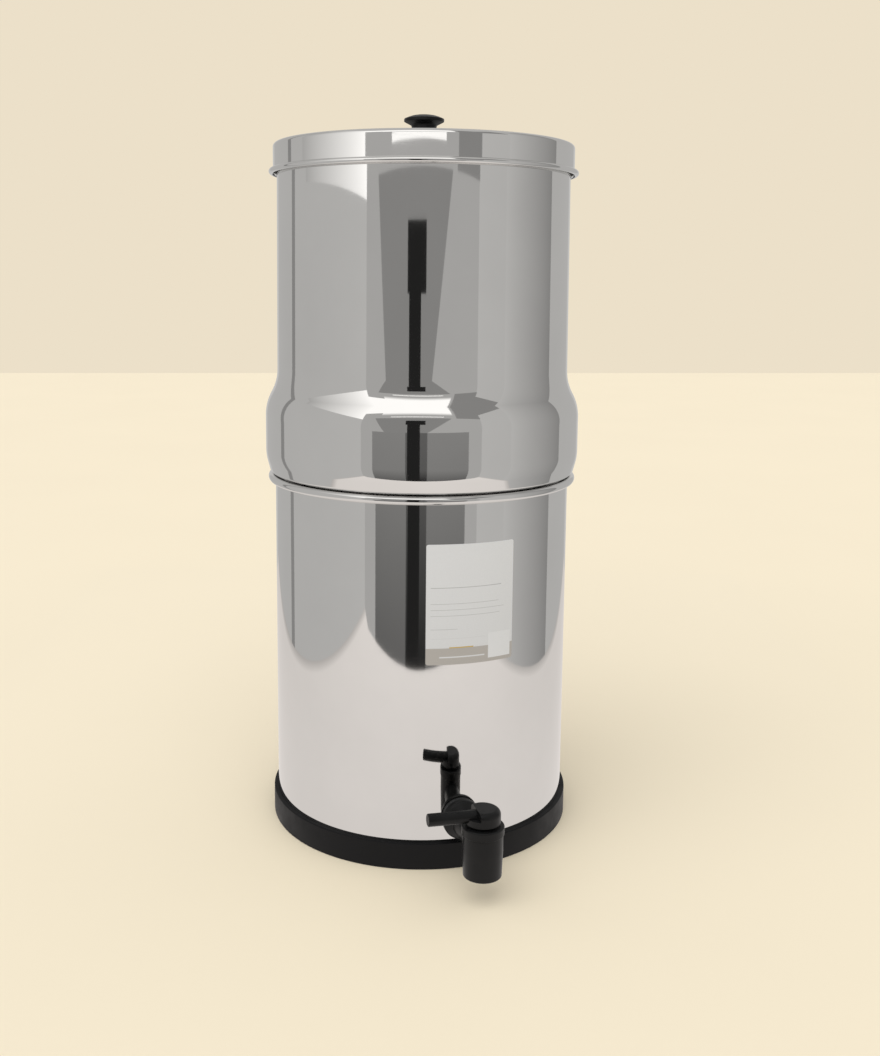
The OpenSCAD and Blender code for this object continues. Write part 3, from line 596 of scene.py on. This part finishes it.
class WATERFILTER_OT_upper_chamber(bpy.types.Operator):
    """Upper chamber: drawn steel vessel with a bulged shoulder, a spigot and four floor holes"""

    bl_idname = "waterfilter.upper_chamber"
    bl_label = "Upper chamber"

    def execute(self, context):
        vessel = context.scene.filter_vessel
        shoulder, upper, mouth, wall, sheet = (
            v / MM for v in (vessel.shoulder_radius, vessel.upper_radius, vessel.mouth_radius,
                             vessel.wall_radius, vessel.sheet))
        seat_z, spigot = RIM_Z + SEAT_GAP, wall - sheet - SPIGOT_GAP
        bend, turn_in, edge_out = 33.4, 34, 3.4  # the shoulder's bends and its lower edge
        near, far = PLACE - 8, PLACE + 8  # the windows round the holes in the floor
        side = rounded_path([(mouth, MOUTH_Z - 1.2, 0), (upper, seat_z + 64.34, bend),
                             (shoulder, seat_z + 49.18, bend),
                             (shoulder, seat_z + 12.5, turn_in),
                             (wall + edge_out, seat_z + 0.5, 3), (spigot, seat_z, sheet),
                             (spigot, FLOOR_Z, 4),
                             *[(r, FLOOR_Z, 0) for r in np.linspace(far, near, 7)],
                             (0, FLOOR_Z, 0)], step=4)
        inner = inner_side(side, sheet)
        hem, hem_z = mouth - 2 * sheet, MOUTH_Z - 6
        behind, round_edge = hem + sheet + 0.03, 0.79
        fold = rounded_path([(behind, hem_z - 0.6, 0), (behind, hem_z, 0.15), (hem, hem_z, 0.35),
                             (hem, MOUTH_Z, round_edge), (mouth, MOUTH_Z, round_edge),
                             (mouth, MOUTH_Z - 1, 0)], step=10)
        path = joined((inner[0][:-1], inner[1][:-1]), fold, side)
        holes = []
        for k in range(4):
            turn = math.pi / 2 * k
            centre = PLACE * np.array([math.sin(turn), -math.cos(turn), 0])
            holes.append({"rows": [rows_between(path, (near, far), z, 0)
                                   for z in (FLOOR_Z, FLOOR_Z + sheet)],
                          "column": 90 * k, "half": 9, "radius": FLOOR_HOLE, "centre": centre,
                          "across": np.array([1.0, 0, 0]), "up": np.array([0, -1.0, 0])})
        made = revolved("upper_chamber_shell", path, finishes()["mirror-polished stainless sheet"],
                        holes=holes, inside=np.arange(len(path[0])) < len(inner[0]) - 1)
        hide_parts("upper_chamber")
        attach(made, "upper_chamber")
        return {"FINISHED"}


class WATERFILTER_OT_lid(bpy.types.Operator):
    """Lid: shallow steel pan with a rolled edge and the knob's screw hole"""

    bl_idname = "waterfilter.lid"
    bl_label = "Lid"

    def execute(self, context):
        vessel = context.scene.filter_vessel
        skirt, sheet, roll = (v / MM for v in (vessel.lid_radius, vessel.sheet, vessel.lid_roll))
        roll_z = LID_FOOT_Z + roll
        top = rounded_path([(SCREW_HOLE, LID_Z, 0), (skirt, LID_Z, 2.6),
                            (skirt, roll_z + 1.5, 0)])
        edge = rolled_edge((skirt - sheet + roll, roll_z), roll, 130, -180)
        inner = inner_side(top, sheet)
        path = joined(top, edge, inner)
        inside = np.arange(len(path[0])) >= len(path[0]) - len(inner[0])
        made = revolved("lid_shell", path, finishes()["mirror-polished stainless sheet"],
                        closed=True, inside=inside)
        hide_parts("lid")
        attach(made, "lid")
        return {"FINISHED"}


class WATERFILTER_OT_label(bpy.types.Operator):
    """Label: thin printed paper round the lower chamber's wall"""

    bl_idname = "waterfilter.label"
    bl_label = "Label"

    def execute(self, context):
        """Front and back face are sheets at two radii round the axis: across the label, the
        azimuth runs evenly over the row's width, which near the upper and lower edge is cut in
        by the rounded corners' circle; up the label, the height runs between the edges."""
        back = context.scene.filter_vessel.wall_radius / MM + 0.05
        front, width, corner, turn = back + 0.15, 61.4, 1.5, math.radians(3.25)
        low, high = LABEL_BOX[0].z / MM, LABEL_BOX[1].z / MM
        ends = corner * (1 - np.cos(np.linspace(0, math.pi / 2, 7)))
        v = np.concatenate([ends, np.linspace(corner, high - low - corner, 24)[1:-1],
                            high - low - ends[::-1]])
        edge = np.clip(corner - np.minimum(v, high - low - v), 0, corner)
        half = width / 2 - corner + np.sqrt(corner ** 2 - edge ** 2)
        across = np.linspace(-1, 1, 61)
        arc = half[:, None] * across
        azimuth = turn + arc / front
        heights = np.repeat(v[:, None] + low, across.size, 1)
        skins = [np.stack([r * np.sin(azimuth), -r * np.cos(azimuth), heights], -1)
                 for r in (front, back)]
        rows, cols = azimuth.shape
        n = np.arange(rows * cols).reshape(rows, cols)
        face = grid_quads(n)
        rim = np.concatenate([n[0, :-1], n[:-1, -1], n[-1, :0:-1], n[:0:-1, 0]])
        faces = np.concatenate([face, face[:, ::-1] + n.size, strip(rim, rim + n.size)[:, ::-1]])
        uv = np.tile(np.stack([arc / width + 0.5, np.repeat(v[:, None], cols, 1) / (high - low)],
                              -1).reshape(-1, 2), (2, 1))
        paper = printed_label(context.scene.filter_finish, width, high - low)
        made = add_mesh("label_paper", np.concatenate([s.reshape(-1, 3) for s in skins]) * MM,
                        [faces], paper, uv=uv)
        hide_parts("label_sticker")
        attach(made, "lower_chamber")
        return {"FINISHED"}


class WATERFILTER_OT_candles(bpy.types.Operator):
    """Candles and hole plugs: cups and plugs with threaded stems, ceramic shells and cores"""

    bl_idname = "waterfilter.candles"
    bl_label = "Candles and hole plugs"

    def execute(self, context):
        made = finishes()
        depth, pitch, end = 0.7, 1.75, 0.5  # of the threads, and how far they stop short
        sheet = context.scene.filter_vessel.sheet / MM
        cup_z, tip_z = FLOOR_Z + sheet + WASHER, FLOOR_Z - 30
        cup_top_z, shell_z, cup_r, seat_r, bore = cup_z + 16, cup_z + 6, 26.6, 25.1, 3
        thread = [(STEM, z, 0) for z in np.arange(FLOOR_Z - 1, tip_z + end, -0.25)]
        cup = rounded_path([(cup_r, cup_top_z, 0.5), (cup_r, cup_z, 1.2), (STEM, cup_z, 0.2),
                            (STEM, FLOOR_Z, 0), *thread, (STEM, tip_z, 0.6),
                            (bore, tip_z, 0.3), (bore, shell_z, 0.3), (seat_r, shell_z, 0.2),
                            (seat_r, cup_top_z, 0.4)], closed=True, step=15)
        head_z, plug_tip_z, head_r = FLOOR_Z + sheet + PLUG_WASHER, FLOOR_Z - 14, 13
        plug = rounded_path([(0, head_z + 5, 0), (head_r, head_z + 5, 1.5),
                             (head_r, head_z, 0.3), (STEM, head_z, 0.2), (STEM, FLOOR_Z, 0),
                             *[p for p in thread if p[1] > plug_tip_z + 0.6],
                             (STEM, plug_tip_z, 0.6), (0, plug_tip_z, 0)], step=15)
        for name, sign in (("left", -1), ("right", 1)):
            piece = revolved(name + "_candle_cup", cup, made["white candle plastic"], 72,
                             closed=True, place=(PLACE * sign, 0), exact=False,
                             thread=(STEM, depth, pitch, tip_z + end, FLOOR_Z - end))
            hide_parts(name + "_candle_base")
            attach(piece, "upper_chamber")
        plugs = [revolved("hole_plug_" + where, plug, made["matt black plastic"], 72,
                          place=(0, PLACE * sign), exact=False,
                          thread=(STEM, depth, pitch, plug_tip_z + end, FLOOR_Z - end))
                 for where, sign in (("front", -1), ("rear", 1))]
        for piece in plugs:
            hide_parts("hole_plugs")
            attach(piece, "upper_chamber")
        dress(["left_ceramic_shell", "right_ceramic_shell"], made["unglazed ceramic"])
        dress(["left_carbon_core", "right_carbon_core"], made["pressed carbon"])
        dress(["candle_sealing_washers", "hole_plug_washers"], made["seal rubber"])
        dress(["candle_wing_nuts"], made["white candle plastic"])
        dress(["hole_plug_nuts"], made["matt black plastic"])
        return {"FINISHED"}


class WATERFILTER_OT_tap(bpy.types.Operator):
    """Tap, knob and base ring: finishes of the black mouldings, their seals and the screw"""

    bl_idname = "waterfilter.tap"
    bl_label = "Tap, knob and base ring"

    def execute(self, context):
        made = finishes()
        dress(["tap_body", "tap_collar", "tap_handle", "tap_plug", "tap_lock_nut", "lid_knob"],
              made["black tap plastic"])
        dress(["tap_outer_washer", "tap_inner_washer", "plug_o_rings", "knob_washer"],
              made["seal rubber"])
        dress(["knob_screw"], made["turned stainless steel"])
        dress(["base_ring"], made["base ring moulding"])
        return {"FINISHED"}


# ---- Studio --------------------------------------------------------------------------------

# Inside of the light tent, in millimetres, seen from the camera's side: x to the right, y away
TENT = {"left": -424, "right": 416, "front": -505, "back": 700, "top": 1000}
LIFT = 0.5  # how far each piece hangs in front of the one before

# Strength of the glow of the tent's lamps and cloths
LAMP, PALE, GREY, DIM, DARK, BLACK = 1.4, 0.6, 0.5, 0.3, 0.15, 0.02

# Pieces of the tent: name, wall, width from-to, height from-to, and the glow at the foot and at
# the top, or on the side walls at the front and at the rear end. A leaning piece gives its width
# at the top too. A later piece of a wall hangs in front of an earlier one.
PANELS = (
    ("front_cloth", "front", (-424, 416), (0, 1000), (GREY, GREY)),
    ("left_curtain", "front", (-310, -90), (0, 250), (DARK, DIM)),
    ("right_curtain", "front", (30, 290), (0, 250), (DARK, DIM)),
    ("curtain_gap", "front", (-90, 30), (0, 250), (BLACK, DARK)),
    ("front_fold", "front", (-220, 30), (250, 500), (DIM, DIM), (-300, 180)),
    ("dark_post", "front", (-80, -10), (0, 380), (BLACK, BLACK)),
    ("dark_box", "front", (-90, 20), (380, 450), (BLACK, BLACK)),
    ("strip_lamp", "front", (-190, 130), (520, 530), (LAMP, LAMP)),
    ("soft_edge", "front", (-260, 190), (560, 620), (GREY, LAMP)),
    ("main_lamp", "front", (-424, 190), (620, 1000), (LAMP, LAMP)),
    ("unlit_corner", "front", (210, 416), (500, 1000), (DIM, DIM)),
    ("left_cloth", "left", (-505, 700), (0, 1000), (PALE, GREY)),
    ("left_lamp", "left", (-505, 0), (480, 1000), (LAMP, GREY)),
    ("left_seam", "left", (110, 150), (0, 1000), (DIM, DIM)),
    ("right_cloth", "right", (-505, 700), (0, 1000), (PALE, GREY)),
    ("right_fold", "right", (-250, 100), (0, 1000), (PALE, DIM)),
    ("right_unlit_corner", "right", (-505, -250), (600, 1000), (DIM, DIM)),
    ("rear_cloth", "back", (-424, 416), (0, 1000), (PALE, PALE)),
    ("rear_post_left", "back", (-150, -40), (0, 820), (BLACK, DARK)),
    ("rear_post_right", "back", (60, 150), (0, 820), (BLACK, DARK)),
    ("top_cloth", "top", (-424, 416), (-505, 700), (PALE, PALE)),
)


def on_wall(wall, u, v, lift):
    """Points of a wall of the tent: its own place is fixed, less a lift towards the inside."""
    here = TENT[wall] - math.copysign(lift, TENT[wall])
    fixed = np.full_like(u, here)
    order = {"front": (u, fixed, v), "back": (u, fixed, v), "left": (fixed, u, v),
             "right": (fixed, u, v), "top": (u, v, fixed)}
    return np.stack(order[wall], -1)


def glowing(name, tint):
    """Light of a tint that a panel gives off, as strong as the mesh's own glow attribute."""
    made = bpy.data.materials.new(name)
    made.use_nodes = True
    tree = made.node_tree
    tree.nodes.clear()
    glow = tree.nodes.new("ShaderNodeAttribute")
    glow.attribute_name = "glow"
    light = tree.nodes.new("ShaderNodeEmission")
    light.inputs["Color"].default_value = (*tint, 1)
    out = tree.nodes.new("ShaderNodeOutputMaterial")
    tree.links.new(glow.outputs["Fac"], light.inputs["Strength"])
    tree.links.new(light.outputs[0], out.inputs["Surface"])
    made.cycles.emission_sampling = "NONE"
    return made


def hang(name, points, glow, material):
    """Adds a grid of points with a glow each, which only the shine of the pieces sees."""
    rows, cols = points.shape[:2]
    quads = grid_quads(np.arange(rows * cols).reshape(rows, cols))
    panel = add_mesh(name, turned(points.reshape(-1, 3), FRONT) * MM, [quads], material)
    panel.data.attributes.new("glow", "FLOAT", "POINT").data.foreach_set(
        "value", np.asarray(glow, np.float32).ravel())
    panel.visible_camera = panel.visible_diffuse = panel.visible_shadow = False
    panel.visible_volume_scatter = False


class WATERFILTER_OT_stage(bpy.types.Operator):
    """Stage: camera, floor, backdrop, soft lamps and the light tent that the steel mirrors"""

    bl_idname = "waterfilter.stage"
    bl_label = "Stage"

    def execute(self, context):
        stage = context.scene.filter_stage
        self.camera(context.scene)
        self.tent()
        self.floor(stage)
        self.lamps(context.scene, stage)
        context.scene.view_settings.view_transform = "Standard"
        return {"FINISHED"}

    def camera(self, scene):
        """Camera 844 mm from the axis and 390 mm up, pitched down by 8.07 degrees."""
        data = bpy.data.cameras.new("camera")
        data.lens, data.sensor_width = 40.165, 36
        data.shift_x, data.shift_y = 0.0173, -0.0789
        data.clip_start, data.clip_end = 0.01, 50
        made = bpy.data.objects.new("camera", data)
        place = Matrix.Rotation(FRONT, 4, "Z") @ Matrix.Translation((0, -0.84445, 0.39022))
        made.matrix_world = (place @ Matrix.Rotation(math.radians(90 - 8.07), 4, "X")
                             @ Matrix.Rotation(0.0075, 4, "Z"))
        scene.collection.objects.link(made)
        scene.camera = made

    def tent(self):
        """Each piece is flat, and its glow runs evenly from its first value to its second."""
        light, w = glowing("tent fabric", (1.0, 0.985, 0.965)), np.linspace(0, 1, 9)
        s, t = np.meshgrid(w, w)
        for k, (name, wall, foot, (v0, v1), (first, last), *top) in enumerate(PANELS):
            (u0, u1), (u2, u3) = foot, top[0] if top else foot
            u = (u0 + (u1 - u0) * s) * (1 - t) + (u2 + (u3 - u2) * s) * t
            v = v0 + (v1 - v0) * t
            along = s if wall in ("left", "right") else t
            hang("tent_" + name, on_wall(wall, u, v, k * LIFT),
                 first + (last - first) * along, light)
        self.tent_floor(glowing("tent floor cloth", (1.0, 0.945, 0.905)))

    def tent_floor(self, light):
        """A pale cloth. Its glow falls from the front to the rear, and by half over the last
        20 mm at both sides, where it curls up by 20 mm."""
        left, right, front, back = (TENT[wall] for wall in ("left", "right", "front", "back"))
        edge = np.array([0, 10, 20, 44])
        x = np.concatenate([left + edge, [(left + right) / 2], right - edge[::-1]])
        x, y = np.meshgrid(x, np.linspace(front, back, 13))
        across = np.interp(x, [left, left + 20, right - 20, right], [0.5, 1.0, 1.0, 0.5])
        away = np.interp(y, [front, back], [0.95, 0.7])
        z = 0.3 + np.interp(x, [left, left + 40, right - 40, right], [20, 0, 0, 20])
        hang("tent_floor", np.stack([x, y, z], -1), across * away, light)

    def floor(self, stage):
        """One flat sheet. Its far edge is the line between floor and backdrop."""
        half = 4.0
        x, y = np.meshgrid([-half * 2, 0.0, half * 2], [-half, 0.0, half])
        grid = np.stack([x, y, 0 * x], -1).reshape(-1, 3)
        turn = FRONT + math.radians(5.3)
        plain = Finish("plain pale floor", stage.floor, 0.9)
        cloud = plain.noise(3, 2)
        plain.set("Base Color", plain.mixed(plain.between(cloud, 0.0, 1.0),
                                            scaled(stage.floor, 0.99), stage.floor))
        made = add_mesh("floor", turned(grid, turn), [grid_quads(np.arange(9).reshape(3, 3))],
                        plain.material)

    def lamps(self, scene, stage):
        """An even room light, seen as the backdrop, and one wide soft lamp from above."""
        world = bpy.data.worlds.new("room")
        world.use_nodes = True
        tree = world.node_tree
        tree.nodes.clear()
        path = tree.nodes.new("ShaderNodeLightPath")
        seen = tree.nodes.new("ShaderNodeMath")
        seen.operation = "MAXIMUM"
        tree.links.new(path.outputs["Is Camera Ray"], seen.inputs[0])
        shine = tree.nodes.new("ShaderNodeMath")
        shine.operation = "MAXIMUM"
        tree.links.new(path.outputs["Is Glossy Ray"], shine.inputs[0])
        tree.links.new(path.outputs["Is Transmission Ray"], shine.inputs[1])
        tree.links.new(shine.outputs[0], seen.inputs[1])
        back = tree.nodes.new("ShaderNodeBackground")
        back.inputs["Color"].default_value = (*stage.backdrop, 1)
        room = tree.nodes.new("ShaderNodeBackground")
        room.inputs["Strength"].default_value = stage.sky
        mix = tree.nodes.new("ShaderNodeMixShader")
        out = tree.nodes.new("ShaderNodeOutputWorld")
        tree.links.new(seen.outputs[0], mix.inputs[0])
        tree.links.new(room.outputs[0], mix.inputs[1])
        tree.links.new(back.outputs[0], mix.inputs[2])
        tree.links.new(mix.outputs[0], out.inputs[0])
        scene.world = world
        data = bpy.data.lights.new("key", "SUN")
        data.energy, data.angle = stage.sun, math.radians(70)
        lamp = bpy.data.objects.new("key", data)
        lamp.matrix_world = (Matrix.Rotation(FRONT - math.radians(25), 4, "Z")
                             @ Matrix.Rotation(math.radians(35), 4, "X"))
        lamp.visible_glossy = False
        scene.collection.objects.link(lamp)


# ---- Add-on --------------------------------------------------------------------------------

PIECES = (WATERFILTER_OT_lower_chamber, WATERFILTER_OT_upper_chamber, WATERFILTER_OT_lid,
          WATERFILTER_OT_label, WATERFILTER_OT_candles, WATERFILTER_OT_tap,
          WATERFILTER_OT_stage)
SETTINGS = {"filter_vessel": VesselSettings, "filter_finish": FinishSettings,
            "filter_stage": StageSettings}


class WATERFILTER_PT_panel(bpy.types.Panel):
    """Settings and pieces of the water filter"""

    bl_idname = "WATERFILTER_PT_panel"
    bl_label = "Water filter"
    bl_space_type = "VIEW_3D"
    bl_region_type = "UI"
    bl_category = "Water filter"

    def draw(self, context):
        for key, group in SETTINGS.items():
            box = self.layout.box()
            for name in group.__annotations__:
                box.prop(getattr(context.scene, key), name)
        for piece in PIECES:
            self.layout.operator(piece.bl_idname)


def register():
    """Registers the classes and puts the settings on the scene."""
    for cls in (*SETTINGS.values(), *PIECES, WATERFILTER_PT_panel):
        bpy.utils.register_class(cls)
    for key, group in SETTINGS.items():
        setattr(bpy.types.Scene, key, PointerProperty(type=group))


def unregister():
    """Takes the settings off the scene and the classes out again."""
    for key in SETTINGS:
        delattr(bpy.types.Scene, key)
    for cls in (WATERFILTER_PT_panel, *reversed(PIECES), *SETTINGS.values()):
        bpy.utils.unregister_class(cls)


def main():
    """Makes every piece and the stage."""
    register()
    for piece in PIECES:
        group, name = piece.bl_idname.split(".")
        getattr(getattr(bpy.ops, group), name)()


if __name__ == "__main__":
    main()
